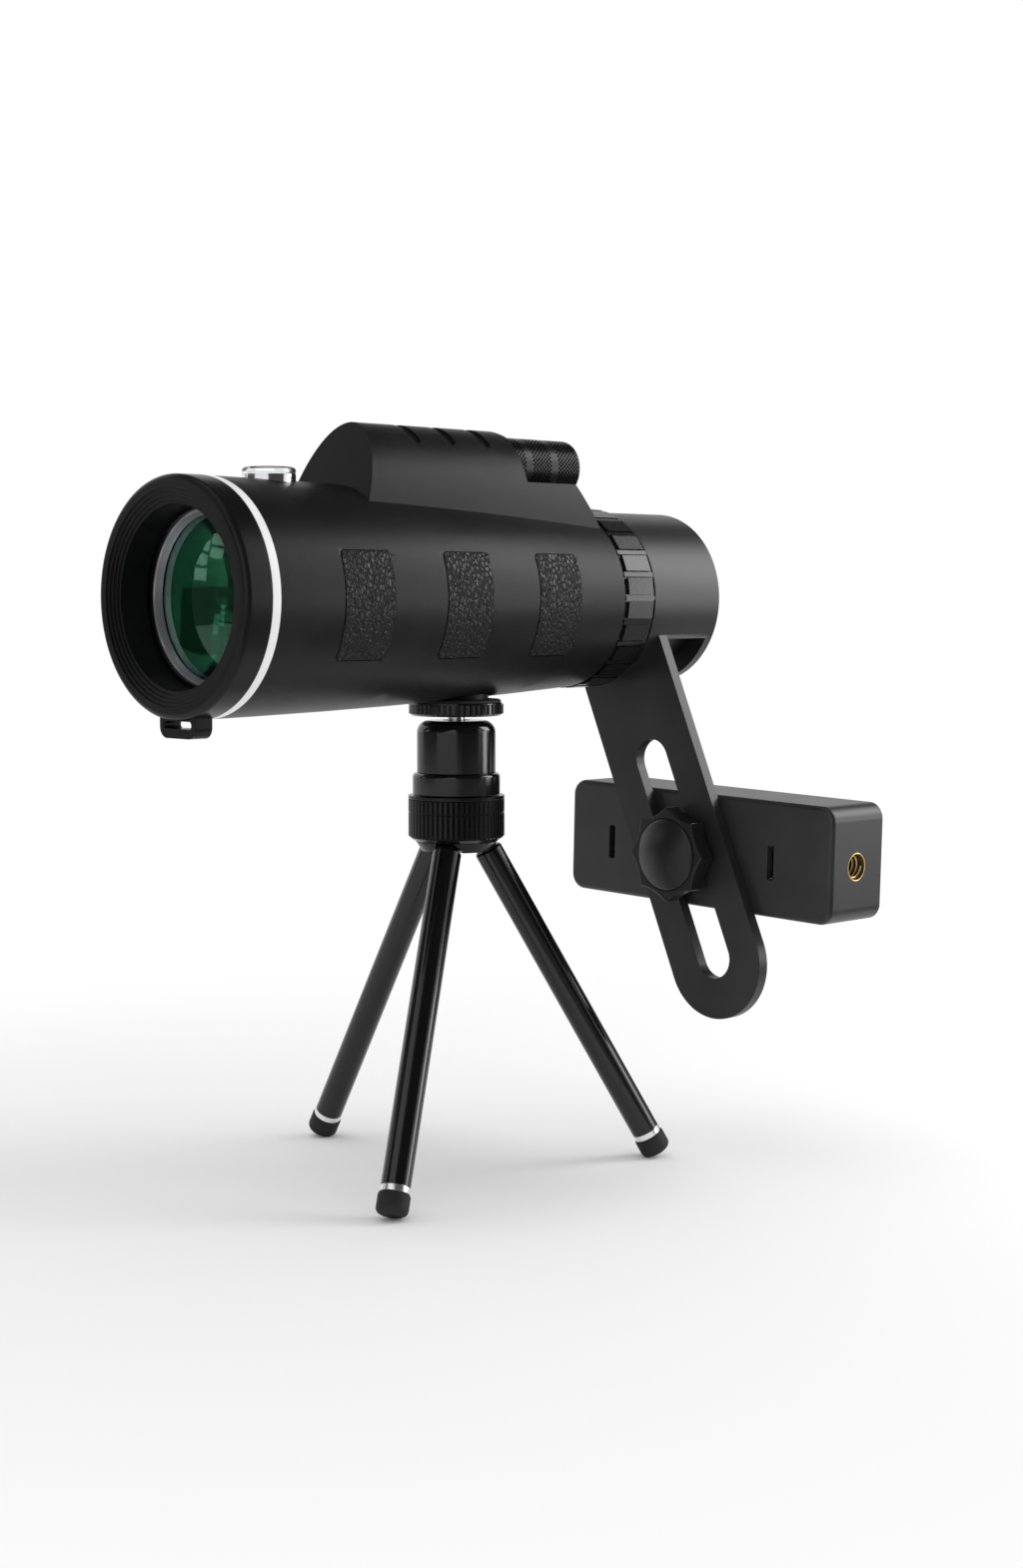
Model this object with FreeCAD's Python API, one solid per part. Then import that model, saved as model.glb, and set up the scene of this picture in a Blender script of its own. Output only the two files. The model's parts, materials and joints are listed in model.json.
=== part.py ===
import FreeCAD, Part
import math
import os

V = FreeCAD.Vector

# A monocular spotting scope on a table tripod, with an arm and a clamp that hold a camera behind
# the eyepiece. Millimetres. The origin is on the optical axis at the mouth of the objective hood,
# +Y runs back along the axis to the eyepiece, and +Z is up.

# ---- driving dimensions -------------------------------------------------------------------------
RING_R = 27.5            # objective ring, outside radius
RIM_Y = -1.6             # front face of the objective ring
HOOD_R = 20.9            # bore of the hood in front of the lens
HOOD_END = 7.4           # where the lens cell begins
TRIM_Y = 5.6             # pale trim ring, front face
BARREL_Y = 8.0           # barrel, front face
BARREL_END = 122.7       # barrel, rear face
BARREL_R0 = 27.4         # barrel radius at its front
BARREL_RM = 26.05        # at the middle station
BARREL_YM = 62.0
BARREL_R1 = 23.0         # at its rear
HUMP_A = 14.9            # arched prism housing: half width of its ellipse
HUMP_B = 24.5            # and its half height
HUMP_Z = 17.0            # height of the ellipse's centre
HUMP_FOOT = 44.7         # where its front face meets the barrel
HUMP_SLANT = 20.0        # lean of that face, degrees
HUMP_END = 97.7          # where the top stops for the focus wheel
LEDGE_Z = 28.5           # ledge behind it
LEDGE_END = 114.9
WHEEL_Z = 33.1           # focus wheel axis
WHEEL_R = 7.1
EYE_R = 15.0             # fixed eyepiece tube
DIOPTER_Y = 123.0        # ribbed dioptre ring
DIOPTER_END = 134.0
DIOPTER_R = 23.3
SLEEVE_R = 22.4          # sleeve of the camera arm
SLEEVE_Y = 134.8
SLEEVE_END = 159.85
ARM_Y = 138.5            # arm plate, front face
ARM_T = 3.0
ARM_TILT = 23.3          # lean of the arm from straight down, degrees
ARM_W = 14.85            # half width
ARM_REACH = 100.4        # optical axis to the centre of the rounded end
SLOT_W = 5.3             # half width of the slot
SLOT_A = 45.5            # centres of its two ends, along the arm
SLOT_B = 99.5
SCREW_AT = 71.2          # clamp screw, along the arm
CLAMP_ROLL = 1.6         # degrees
CLAMP_Y = 141.6          # clamp housing, front and rear faces
CLAMP_END = 161.6
TRIPOD_Y = 85.8          # tripod axis
BALL_Z = -38.5           # centre of the swivel ball
BALL_R = 6.2
PIVOT_R = 6.2            # leg pins from the tripod axis
PIVOT_Z = -59.5
SPLAY = 29.5             # leg angle from the vertical, degrees
LEG_L = 95.2             # pin to the end of the rubber foot
LEG_R = 3.55
LEG_ANGLES = (60.0, -60.0, 180.0)
RUN = 0.05               # running clearance on a radius


# ---- small helpers ------------------------------------------------------------------------------
def wire_of(points, place):
    """Closed wire through (a, b) points; a point of four numbers is an arc: middle, then end."""
    edges = []
    here = points[0][-2:]
    for p in list(points[1:]) + [points[0]]:
        end = p[-2:]
        if len(p) == 4:
            edges.append(Part.Arc(place(*here), place(*p[:2]), place(*end)).toShape())
        elif math.dist(here, end) > 1e-6:
            edges.append(Part.LineSegment(place(*here), place(*end)).toShape())
        here = end
    return Part.Wire(edges)


def turned_y(points, x=0.0, z=0.0):
    """Solid of revolution about an axis along Y; points are (radius, y)."""
    face = Part.Face(wire_of(points, lambda r, y: V(r, y, 0)))
    solid = face.revolve(V(0, 0, 0), V(0, 1, 0), 360)
    solid.translate(V(x, 0, z))
    return solid


def turned_z(points, x=0.0, y=TRIPOD_Y):
    """Solid of revolution about an axis along Z; points are (radius, z)."""
    face = Part.Face(wire_of(points, lambda r, z: V(r, 0, z)))
    solid = face.revolve(V(0, 0, 0), V(0, 0, 1), 360)
    solid.translate(V(x, y, 0))
    return solid


def dome(vertex, edge, r):
    """Arc of a sphere centred on the axis, from its vertex out to radius r."""
    sag = abs(edge - vertex)
    sphere = (r * r + sag * sag) / (2 * sag)
    part = sphere - math.sqrt(sphere * sphere - r * r / 4)
    return (r / 2, vertex + math.copysign(part, edge - vertex), r, edge)


def dish(edge, vertex, r):
    """The same arc taken from radius r in to the vertex."""
    return dome(vertex, edge, r)[:2] + (0, vertex)


def rod_y(r, y0, y1, x=0.0, z=0.0):
    return Part.makeCylinder(r, y1 - y0, V(x, y0, z), V(0, 1, 0))


def rod_z(r, z0, z1, x=0.0, y=TRIPOD_Y):
    return Part.makeCylinder(r, z1 - z0, V(x, y, z0), V(0, 0, 1))


def rod_x(r, x0, x1, y=0.0, z=0.0):
    return Part.makeCylinder(r, x1 - x0, V(x0, y, z), V(1, 0, 0))


def ring_y(r_out, r_in, y0, y1, x=0.0, z=0.0):
    return rod_y(r_out, y0, y1, x, z).cut(rod_y(r_in, y0 - 1, y1 + 1, x, z))


def box(x0, x1, y0, y1, z0, z1):
    return Part.makeBox(x1 - x0, y1 - y0, z1 - z0, V(x0, y0, z0))


def prism_x(points, x0, x1):
    """Outline of (y, z) points pushed along X."""
    face = Part.Face(wire_of(points, lambda y, z: V(x0, y, z)))
    return face.extrude(V(x1 - x0, 0, 0))


def prism_y(points, y0, y1):
    """Outline of (x, z) points pushed along Y."""
    face = Part.Face(wire_of(points, lambda x, z: V(x, y0, z)))
    return face.extrude(V(0, y1 - y0, 0))


def rounded_box(x0, x1, y0, y1, z0, z1, r, along):
    """Box with the four edges along one axis rounded."""
    solid = box(x0, x1, y0, y1, z0, z1)
    edges = [e for e in solid.Edges if abs(e.tangentAt(e.FirstParameter).dot(along)) > 0.99]
    return solid.makeFillet(r, edges)


def stadium_y(c0, c1, r, y0, y1):
    """Slot shape between two (x, z) centres, pushed along Y."""
    length = math.dist(c0, c1)
    side = (-(c1[1] - c0[1]) / length * r, (c1[0] - c0[0]) / length * r)
    corners = [(c[0] + s * side[0], c[1] + s * side[1]) for c, s in
               ((c0, 1), (c1, 1), (c1, -1), (c0, -1))]
    return rod_y(r, y0, y1, *c0).fuse([rod_y(r, y0, y1, *c1), prism_y(corners, y0, y1)])


def knurled(r, depth, count, z0, z1):
    """Toothed column about the tripod axis: V grooves between flats of the same width."""
    pitch = 2 * math.pi / count
    points = []
    for k in range(count):
        for radius, step in ((r, 0), (r, 0.5), (r - depth, 0.75)):
            a = (k + step) * pitch
            points.append((radius * math.cos(a), radius * math.sin(a)))
    face = Part.Face(wire_of(points, lambda x, y: V(x, y + TRIPOD_Y, z0)))
    return face.extrude(V(0, 0, z1 - z0))


def save(name, *solids):
    shape = solids[0].removeSplitter() if len(solids) == 1 else Part.makeCompound(list(solids))
    print(f"{name:22s} solids {len(shape.Solids)} valid {shape.isValid()} volume {shape.Volume:10.2f}")
    shape.exportStep(f"parts/{name}.step")


# ---- barrel and prism housing -------------------------------------------------------------------
def barrel_body(offset=0.0):
    return turned_y([(0, BARREL_Y), (BARREL_R0 + offset, BARREL_Y),
                     (BARREL_RM + offset, BARREL_YM, BARREL_R1 + offset, BARREL_END),
                     (0, BARREL_END)])


def arch(inset=0.0, y0=30.0, y1=125.0):
    """The housing's arched section, pushed along the barrel."""
    top = V(0, y0, HUMP_Z + HUMP_B - inset)
    side = V(HUMP_A - inset, y0, HUMP_Z)
    curve = Part.ArcOfEllipse(Part.Ellipse(top, side, V(0, y0, HUMP_Z)), -math.pi / 2, math.pi / 2)
    ends = [curve.StartPoint, curve.EndPoint]
    low = [V(p.x, y0, 5.0) for p in ends]
    edges = [curve.toShape(), Part.LineSegment(ends[1], low[1]).toShape(),
             Part.LineSegment(low[1], low[0]).toShape(), Part.LineSegment(low[0], ends[0]).toShape()]
    return Part.Face(Part.Wire(edges)).extrude(V(0, y1 - y0, 0))


def hump_side():
    """Side outline of the housing: leaning front, flat top, step for the wheel, sloping tail."""
    lean = math.tan(math.radians(HUMP_SLANT))
    foot_z = 22.7
    top = HUMP_Z + HUMP_B + 0.5
    low = 5.0
    tail = 0.66
    points = [(HUMP_FOOT - (foot_z - low) * lean, low), (HUMP_FOOT + (top - foot_z) * lean, top),
              (HUMP_END - 2.0, top), (HUMP_END, top - 2.0), (HUMP_END, LEDGE_Z),
              (LEDGE_END, LEDGE_Z), (BARREL_END, LEDGE_Z - (BARREL_END - LEDGE_END) / tail),
              (BARREL_END, low)]
    return prism_x(points, -HUMP_A - 1, HUMP_A + 1)


GROOVES = (65.2, 76.7, 88.2)      # finger grooves across the top
GROOVE_W = 1.4
GROOVE_D = 0.7
GROOVE_X = 7.4
PAD_Y = ((26.6, 41.9), (58.7, 74.1), (90.5, 105.9))
PAD_Z = (-14.3, 10.8)
PAD_DEPTH = 0.8
PAD_CORNER = 1.4
PAD_PROUD = 0.15
PAD_GAP = 0.2
COMPASS_Y = 26.8
COMPASS_R = 6.2
COMPASS_Z = 25.7
BOSS_R = 8.0
BOSS_Z = -25.0
PAD_SEAT_R = 11.7        # flat milled round the boss
BUSH_R = 4.7
STUD_R = 3.15
WALL = 1.9
CAVITY_Y = (55.0, 95.8)
INNER_R0 = 24.95
INNER_R1 = 21.0
INNER_Y0 = 40.0
INNER_Y1 = 118.0


def groove_cutters():
    skin = arch().cut(arch(GROOVE_D))
    slots = []
    for y in GROOVES:
        slot = box(-GROOVE_X, GROOVE_X, y - GROOVE_W, y + GROOVE_W, 30, 45)
        slot = slot.fuse([rod_z(GROOVE_W, 30, 45, -GROOVE_X, y), rod_z(GROOVE_W, 30, 45, GROOVE_X, y)])
        slots.append(slot.common(skin))
    return slots


def pad_window(side, span, margin):
    """Block through one flank of the barrel, rounded at the pad's corners."""
    lo, hi = sorted((side * HUMP_A, side * (RING_R + 5)))
    return rounded_box(lo, hi, span[0] + margin, span[1] - margin, PAD_Z[0] + margin,
                       PAD_Z[1] - margin, PAD_CORNER - margin, V(1, 0, 0))


def barrel_shell():
    outer = barrel_body().fuse(arch().common(hump_side()))
    inner = turned_y([(0, 0), (INNER_R0, 0), (INNER_R0, INNER_Y0), (INNER_R1, INNER_Y1),
                      (INNER_R1, BARREL_END + 5), (0, BARREL_END + 5)])
    cavity = arch(WALL, *CAVITY_Y).cut(barrel_body())
    shell = outer.cut(inner).cut(cavity)
    boss = rod_z(BOSS_R, BOSS_Z, -15.5)
    shell = shell.fuse(boss)
    cuts = [box(-3.2, 3.2, CAVITY_Y[0], 72.0, 18, 30),
            rod_y(2 + RUN, 52.5, HUMP_END + 1, 0, WHEEL_Z),
            rod_y(WHEEL_R + 0.4, HUMP_END, BARREL_END + 1, 0, WHEEL_Z),
            rod_z(COMPASS_R, COMPASS_Z, 40, 0, COMPASS_Y),
            rod_z(BUSH_R, BOSS_Z - 1, -16.5),
            rod_z(PAD_SEAT_R, BOSS_Z - 5, BOSS_Z)]
    core = barrel_body(-PAD_DEPTH)
    for side in (1, -1):
        for span in PAD_Y:
            cuts.append(pad_window(side, span, 0.0).cut(core))
    shell = shell.cut(cuts + groove_cutters())
    save("barrel_shell", shell)


def grip_pads():
    skin = barrel_body(PAD_PROUD).cut(barrel_body(-PAD_DEPTH))
    save("grip_pads", *[pad_window(side, span, PAD_GAP).common(skin)
                        for side in (1, -1) for span in PAD_Y])


# ---- objective ----------------------------------------------------------------------------------
NECK_R = 24.9
NECK_END = 14.0
CELL_R = 22.4
LENS_R = 20.0
LENS_Y = 10.8
JOIN_Y = 13.8            # edge of the cemented face
LUG_X = 6.6
LUG_Y = (0.1, 4.9)
LUG_Z = -31.5


def objective_ring():
    steps = 4
    tread = 0.9
    rise = -RIM_Y / steps
    stair = []
    for k in range(steps):
        r = HOOD_R + tread * (k + 1)
        stair += [(r, -rise * k), (r, -rise * (k + 1))]
    fillet = 1.5
    mid = fillet * (1 - math.sqrt(0.5))
    ring = turned_y([(HOOD_R, 0)] + stair + [
        (RING_R - fillet, RIM_Y), (RING_R - mid, RIM_Y + mid, RING_R, RIM_Y + fillet),
        (RING_R, TRIM_Y), (NECK_R, TRIM_Y), (NECK_R, NECK_END), (CELL_R, NECK_END),
        (CELL_R, HOOD_END), (HOOD_R, HOOD_END)])
    lug = rounded_box(-LUG_X, LUG_X, *LUG_Y, LUG_Z, -20.0, 2.6, V(0, 1, 0))
    lug = lug.cut(box(-20, 20, -5, 10, -24.0, -10))
    lug = lug.cut(rounded_box(-5.0, 5.0, -2, 8, -29.3, -27.6, 0.7, V(0, 1, 0)))
    save("objective_ring", ring.fuse(lug))


def objective_parts():
    save("trim_ring", ring_y(RING_R - 0.05, NECK_R, TRIM_Y, BARREL_Y))
    bore = LENS_R + RUN
    seat = 17.0
    save("objective_cell", turned_y([
        (bore, HOOD_END), (CELL_R, HOOD_END), (CELL_R, 30), (20.8, 30), (20.8, 18), (19, 18),
        (19, seat), (bore, seat)]))
    save("objective_retainer", turned_y([
        (bore, 8.4), (bore, 10.7), (19.0, 10.45), (18.9, 10.3), (19.6, 8.4)]))
    save("crown_lens", turned_y([
        (0, 8.55), dome(8.55, LENS_Y, LENS_R), (LENS_R, JOIN_Y), dish(JOIN_Y, 16.2, LENS_R)]))
    save("flint_lens", turned_y([
        (0, 16.2), dome(16.2, JOIN_Y, LENS_R), (LENS_R, seat), (19, seat), dish(seat, 17.6, 19)]))


# ---- prisms -------------------------------------------------------------------------------------
def inner_r(y):
    return INNER_R0 - (y - INNER_Y0) * (INNER_R0 - INNER_R1) / (INNER_Y1 - INNER_Y0)


PRISM_X = 10.05
PRISM_Y0 = 74.0
PRISM_Y1 = 98.3
ROD_X = 17.0
ROD_R = 1.2


def prisms():
    front = ring_y(inner_r(PRISM_Y0), 9.0, PRISM_Y0 - 2, PRISM_Y0)
    rear = ring_y(inner_r(PRISM_Y1 + 2), 9.0, PRISM_Y1, PRISM_Y1 + 2)
    sides = [box(s * PRISM_X if s > 0 else -PRISM_X - 1.6, PRISM_X + 1.6 if s > 0 else -PRISM_X,
                 PRISM_Y0, PRISM_Y1, -13.4, 14.0) for s in (1, -1)]
    holder = front.fuse([rear] + sides)
    holder = holder.cut([rod_y(ROD_R, 60, PRISM_Y0 + 1, s * ROD_X, 0) for s in (1, -1)])
    save("prism_holder", holder)
    save("penta_prism", prism_x([(74.0, -9), (75.6, -9), (96.6, 12), (90.5, 15.8), (74.0, 9)],
                                -PRISM_X, PRISM_X))
    save("roof_prism", prism_x([(PRISM_Y1, 13), (PRISM_Y1, -13), (79.9, -5.4)], -PRISM_X, PRISM_X))
    save("guide_rods", *[rod_y(ROD_R, 50, PRISM_Y0, s * ROD_X, 0) for s in (1, -1)])


# ---- focusing -----------------------------------------------------------------------------------
SCREW_R = 2.0


def focusing():
    drum = turned_y([
        (SCREW_R, HUMP_END + 0.4), (WHEEL_R, HUMP_END + 0.4), (WHEEL_R, 103.9), (7.0, 103.9),
        (7.0, 105.9), (WHEEL_R, 105.9), (WHEEL_R, 112.6), (7.0, 112.6), (7.0, 114.7),
        (WHEEL_R, 114.7), (WHEEL_R, BARREL_END - 0.6), (WHEEL_R - 0.6, BARREL_END),
        (SCREW_R, BARREL_END)], 0, WHEEL_Z)
    save("focus_wheel", drum)
    save("focus_screw", rod_y(SCREW_R, 53, BARREL_END - 0.8, 0, WHEEL_Z))
    y0, y1 = 59.5, 65.5
    body = ring_y(14.5, 12.0, y0, y1)
    lip = ring_y(12.5, 11.2, y0, y0 + 0.8)
    ears = []
    bores = [rod_y(SCREW_R + RUN, 50, 80, 0, WHEEL_Z)]
    for s in (1, -1):
        ears += [rod_y(2.7, y0, y1, s * ROD_X, 0)]
        bores += [rod_y(ROD_R + RUN, 50, 80, s * ROD_X, 0)]
    arm = box(-2.8, 2.8, y0 + 0.5, y1 - 0.5, 13.6, 30)
    nut = rounded_box(-4, 4, y0, y1, 29.0, 37.2, 1.0, V(0, 1, 0))
    save("focus_carriage", body.fuse([lip, arm, nut] + ears).cut(bores))
    save("focusing_lens", turned_y([
        (0, 61.6), dome(61.6, 60.3, 12), (12, 64.3), dish(64.3, 63.2, 12)]))


# ---- eyepiece -----------------------------------------------------------------------------------
CELL_FIT = 13.0
PIN_Y = 128.0
TRAVEL = 2.0             # ocular cell, each way
DIOPTER_TURN = 60.0      # degrees each way
RIBS = 24


def toothed(count, half_width, r_low, r_high, y0, y1, phase):
    """Ring section with raised sectors, pushed along the optical axis."""
    pitch = 360.0 / count
    points = []
    for k in range(count):
        mid = k * pitch + phase
        for radius, angle in ((r_low, -half_width), (r_high, -half_width), (r_high, half_width),
                              (r_low, half_width)):
            a = math.radians(mid + angle)
            points.append((radius * math.cos(a), radius * math.sin(a)))
    return prism_y(points, y0, y1)


def diopter_ring():
    low = 22.45
    base = turned_y([
        (20.4, DIOPTER_Y), (low, DIOPTER_Y), (low, DIOPTER_END), (EYE_R + RUN, DIOPTER_END),
        (EYE_R + RUN, 131.8), (16.2, 131.8), (16.2, 123.6), (18.0, 123.6), (18.0, 131.8),
        (20.4, 131.8)])
    bore = rod_y(21.0, DIOPTER_Y - 5, DIOPTER_END + 5)
    blocks = toothed(RIBS, 5.2, low - 0.2, DIOPTER_R, 124.1, 133.2, 7.5).cut(bore)
    ribs = toothed(RIBS, 1.5, low - 0.2, DIOPTER_R - 0.15, 123.0, 133.7, 0.0).cut(bore)
    ring = base.fuse([blocks, ribs])
    cam = []
    steps = 49
    for k in range(steps):
        angle = -DIOPTER_TURN + 2 * DIOPTER_TURN * k / (steps - 1)
        y = PIN_Y + TRAVEL * angle / DIOPTER_TURN
        a = math.radians(90 + angle)
        cam.append(Part.makeCylinder(1.15, 8, V(12 * math.cos(a), y, 12 * math.sin(a)),
                                     V(math.cos(a), 0, math.sin(a))))
    save("diopter_ring", ring.cut(cam))


def eyepiece():
    tube = turned_y([
        (CELL_FIT + RUN, 112), (EYE_R, 112), (EYE_R, INNER_Y1), (INNER_R1, INNER_Y1),
        (INNER_R1, BARREL_END), (EYE_R, BARREL_END), (EYE_R, 151.5), (13.9, 151.5), (13.9, 155.8),
        (CELL_FIT + RUN, 155.8)])
    save("eye_tube", tube.cut(box(-1.1, 1.1, PIN_Y - 3.1, PIN_Y + 3.1, 5, 20)))
    cell = turned_y([
        (11.6, 123), (CELL_FIT, 123), (CELL_FIT, 150), (10.2, 150), (9.6, 146), (10.6, 146),
        (10.6, 141.75), (9.8, 141.75), (9.8, 130.2), (11.6, 130.2)])
    save("ocular_cell", cell.fuse(rod_z(1.0, 12.2, 17.6, 0, PIN_Y)))
    save("field_lens", turned_y([(0, 124.6), dome(124.6, 126.2, 11.6), (11.6, 130.2), (0, 130.2)]))
    save("eye_lens", turned_y([
        (0, 140.6), dome(140.6, 142, 10.6), (10.6, 146), (9.6, 146), dish(146, 147.8, 9.6)]))
    save("eyecup", turned_y([
        (13.9, 151.5), (EYE_R, 151.5), (EYE_R, 156.6), (EYE_R - 0.6, 157.2), (10.5, 157.2),
        (10.5, 155.8), (13.9, 155.8)]))


# ---- compass ------------------------------------------------------------------------------------
def compass():
    z = COMPASS_Z
    save("compass_case", turned_z([
        (0, z), (COMPASS_R, z), (COMPASS_R, 28.2), (5.4, 28.2), (5.4, 26.3), (1.0, 26.3),
        (0.35, 26.7), (0, 27.3)], 0, COMPASS_Y))
    card = rod_z(4.9, 27.35, 27.6, 0, COMPASS_Y)
    needle = Part.Face(wire_of([(0, 4.3), (0.8, 0), (0, -4.3), (-0.8, 0)],
                               lambda x, y: V(x, y + COMPASS_Y, 27.6))).extrude(V(0, 0, 0.2))
    save("compass_card", card.fuse(needle))
    save("compass_dome", turned_z([
        (5.2, 28.2), (COMPASS_R, 28.2), (COMPASS_R, 29.0), (5.9, 29.7, 5.2, 29.9), dish(29.9, 30.1, 5.2),
        (0, 29.2), (4.9, 29.2), (5.2, 28.9)], 0, COMPASS_Y))


# ---- tripod head --------------------------------------------------------------------------------
DISC_R = 11.8
DISC_Z = (-29.1, -25.9)
COLLAR_R = 12.0
COLLAR_Z = (-60.3, -48.9)
NECK_Z = (-48.7, -43.3)
PIN_Z = -51.6
HUB_R = 9.0              # hub where the collar turns on it
HUB_NECK_R = 7.15        # and where the neck ring sits
BALL_CAP_R = 9.8
CAP_TOP = -30.3
CAP_BORE = 7.2


def ball_arc(r, z_low, z_high):
    """Arc on a sphere about the ball's centre, as (middle, end) for a turned outline."""
    a = math.asin((z_low - BALL_Z) / r)
    b = math.asin((z_high - BALL_Z) / r)
    m = (a + b) / 2
    return (r * math.cos(m), BALL_Z + r * math.sin(m), r * math.cos(b), z_high)


def ball_point(r, z):
    return (math.sqrt(r * r - (z - BALL_Z) ** 2), z)


def head():
    save("tripod_bushing", turned_z([(STUD_R + RUN, BOSS_Z), (BUSH_R, BOSS_Z), (BUSH_R, -16.5),
                                     (STUD_R + RUN, -16.5)]))
    save("platform_pad", turned_z([(STUD_R + RUN, DISC_Z[1]), (11.15, DISC_Z[1]), (11.15, -25.4),
                                   (10.8, BOSS_Z - RUN), (STUD_R + RUN, BOSS_Z - RUN)]))
    disc = knurled(DISC_R, 0.4, 52, DISC_Z[0] + 0.5, DISC_Z[1] - 0.35)
    plain = turned_z([(0, DISC_Z[0]), (DISC_R - 0.8, DISC_Z[0]), (DISC_R - 0.3, DISC_Z[0] + 0.5),
                      (DISC_R - 0.35, DISC_Z[1] - 0.35), (DISC_R - 0.35, DISC_Z[1]), (0, DISC_Z[1])])
    save("lock_disc", disc.fuse(plain).cut(rod_z(STUD_R + RUN, -40, -20)))
    save("head_stud", turned_z([(0, -37), (2.1, -37), (2.1, -29.3), (STUD_R, -29.3),
                                (STUD_R, -18.0), (STUD_R - 0.5, -17.5), (0, -17.5)]))
    low = BALL_Z - 5.1
    ball = turned_z([(0, low), ball_point(BALL_R, low),
                     ball_arc(BALL_R, low, BALL_Z + 5.6), (0, BALL_Z + 5.6)])
    save("swivel_ball", ball.cut(rod_z(2.1, -37, -25)))
    top, bottom = BALL_Z + 5.0, BALL_Z + 1.5
    save("friction_ring", turned_z([
        ball_point(6.35, bottom), ball_arc(6.35, bottom, top), ball_point(7.05, top),
        ball_arc(7.05, top, bottom)]))
    mouth = 3.5
    mouth_z = BALL_Z + math.sqrt(CAP_BORE ** 2 - mouth ** 2)
    corner = 2.9
    mid = corner * (1 - math.sqrt(0.5))
    save("ball_cap", turned_z([
        (CAP_BORE, NECK_Z[1]), (BALL_CAP_R, NECK_Z[1]), (BALL_CAP_R, CAP_TOP - corner),
        (BALL_CAP_R - mid, CAP_TOP - mid, BALL_CAP_R - corner, CAP_TOP), (mouth, CAP_TOP),
        (mouth, mouth_z), ball_arc(CAP_BORE, mouth_z, BALL_Z)]))
    save("neck_ring", turned_z([
        (HUB_NECK_R, NECK_Z[0]), (10.9, NECK_Z[0]), (10.9, NECK_Z[1] - 1),
        (10.6, NECK_Z[1] - 0.3, 9.9, NECK_Z[1]), (HUB_NECK_R, NECK_Z[1])]))
    seat = turned_z([(0, -54.5), (2.5, -54.5), (2.5, -47.4), (5.9, -47.4), (5.9, -41.9),
                     ball_point(6.35, -41.9), ball_arc(6.35, -41.9, -44.85 + 1e-3), (0, -44.85 + 1e-3)])
    save("ball_seat", seat.fuse(rod_x(1.0, -10.2, 10.2, TRIPOD_Y, PIN_Z)))
    collar = knurled(COLLAR_R, 0.45, 56, COLLAR_Z[0] + 1.2, COLLAR_Z[1] - 1.0)
    plain = turned_z([(0, COLLAR_Z[0]), (10.4, COLLAR_Z[0]), (COLLAR_R - 0.3, COLLAR_Z[0] + 0.9),
                      (COLLAR_R - 0.45, COLLAR_Z[0] + 1.2), (COLLAR_R - 0.45, COLLAR_Z[1] - 1.0),
                      (COLLAR_R, COLLAR_Z[1] - 0.8), (COLLAR_R, COLLAR_Z[1]), (0, COLLAR_Z[1])])
    bore = HUB_R + 0.08
    hollow = turned_z([(0, -62), (10.0, -62), (10.0, COLLAR_Z[0]), (bore, -58.9), (bore, -53.4),
                       (10.5, -53.4), (10.5, -50.0), (bore, -50.0), (bore, -45), (0, -45)])
    line = turned_z([(COLLAR_R - 0.25, -53.3), (13, -53.3), (13, -53.0), (COLLAR_R - 0.25, -53.0)])
    save("lock_collar", collar.fuse(plain).cut([hollow, line]))


# ---- tripod legs --------------------------------------------------------------------------------
def stand_leg(shape, angle, splay=SPLAY):
    """Move a leg drawn hanging down from its pin at the origin to its place."""
    shape = shape.copy()
    shape.rotate(V(0, 0, 0), V(0, 1, 0), -splay)
    shape.translate(V(PIVOT_R, 0, PIVOT_Z))
    shape.rotate(V(0, 0, 0), V(0, 0, 1), angle)
    shape.translate(V(0, TRIPOD_Y, 0))
    return shape


def column(points):
    """Turned shape about the leg's own axis; points are (radius, distance down from the pin)."""
    return turned_z([tuple(-v if i % 2 else v for i, v in enumerate(p)) for p in points], 0, 0)


TONGUE = 2.1             # half thickness of the leg's eye
EYE = 2.2                # radius of the eye
LEG_TOP = 3.6
FOOT_L = 5.2
RING_L = 1.5


def legs():
    end = LEG_L - FOOT_L - RING_L
    tube = column([(0, LEG_TOP), (LEG_R - 0.4, LEG_TOP), (LEG_R, LEG_TOP + 0.4), (LEG_R, end),
                   (2.8, end), (2.8, 9), (0, 9)])
    eye = rod_y(EYE, -TONGUE, TONGUE).fuse(box(-EYE, EYE, -TONGUE, TONGUE, -LEG_TOP - 1, 0))
    tube = tube.fuse(eye).cut(rod_y(1.25 + RUN, -5, 5))
    ring = column([(2.8, end), (LEG_R + 0.05, end), (LEG_R + 0.05, end + RING_L), (2.8, end + RING_L)])
    foot_r = 3.9
    round_r = 1.5
    mid = round_r * (1 - math.sqrt(0.5))
    foot = column([(0, end - 5), (2.8, end - 5), (2.8, end + RING_L), (foot_r - 0.3, end + RING_L),
                   (foot_r, end + RING_L + 0.6), (foot_r, LEG_L - round_r),
                   (foot_r - mid, LEG_L - mid, foot_r - round_r, LEG_L), (0, LEG_L)])
    for number, angle in enumerate(LEG_ANGLES, 1):
        save(f"leg_{number}_tube", stand_leg(tube, angle))
        save(f"leg_{number}_ring", stand_leg(ring, angle))
        save(f"leg_{number}_foot", stand_leg(foot, angle))


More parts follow.
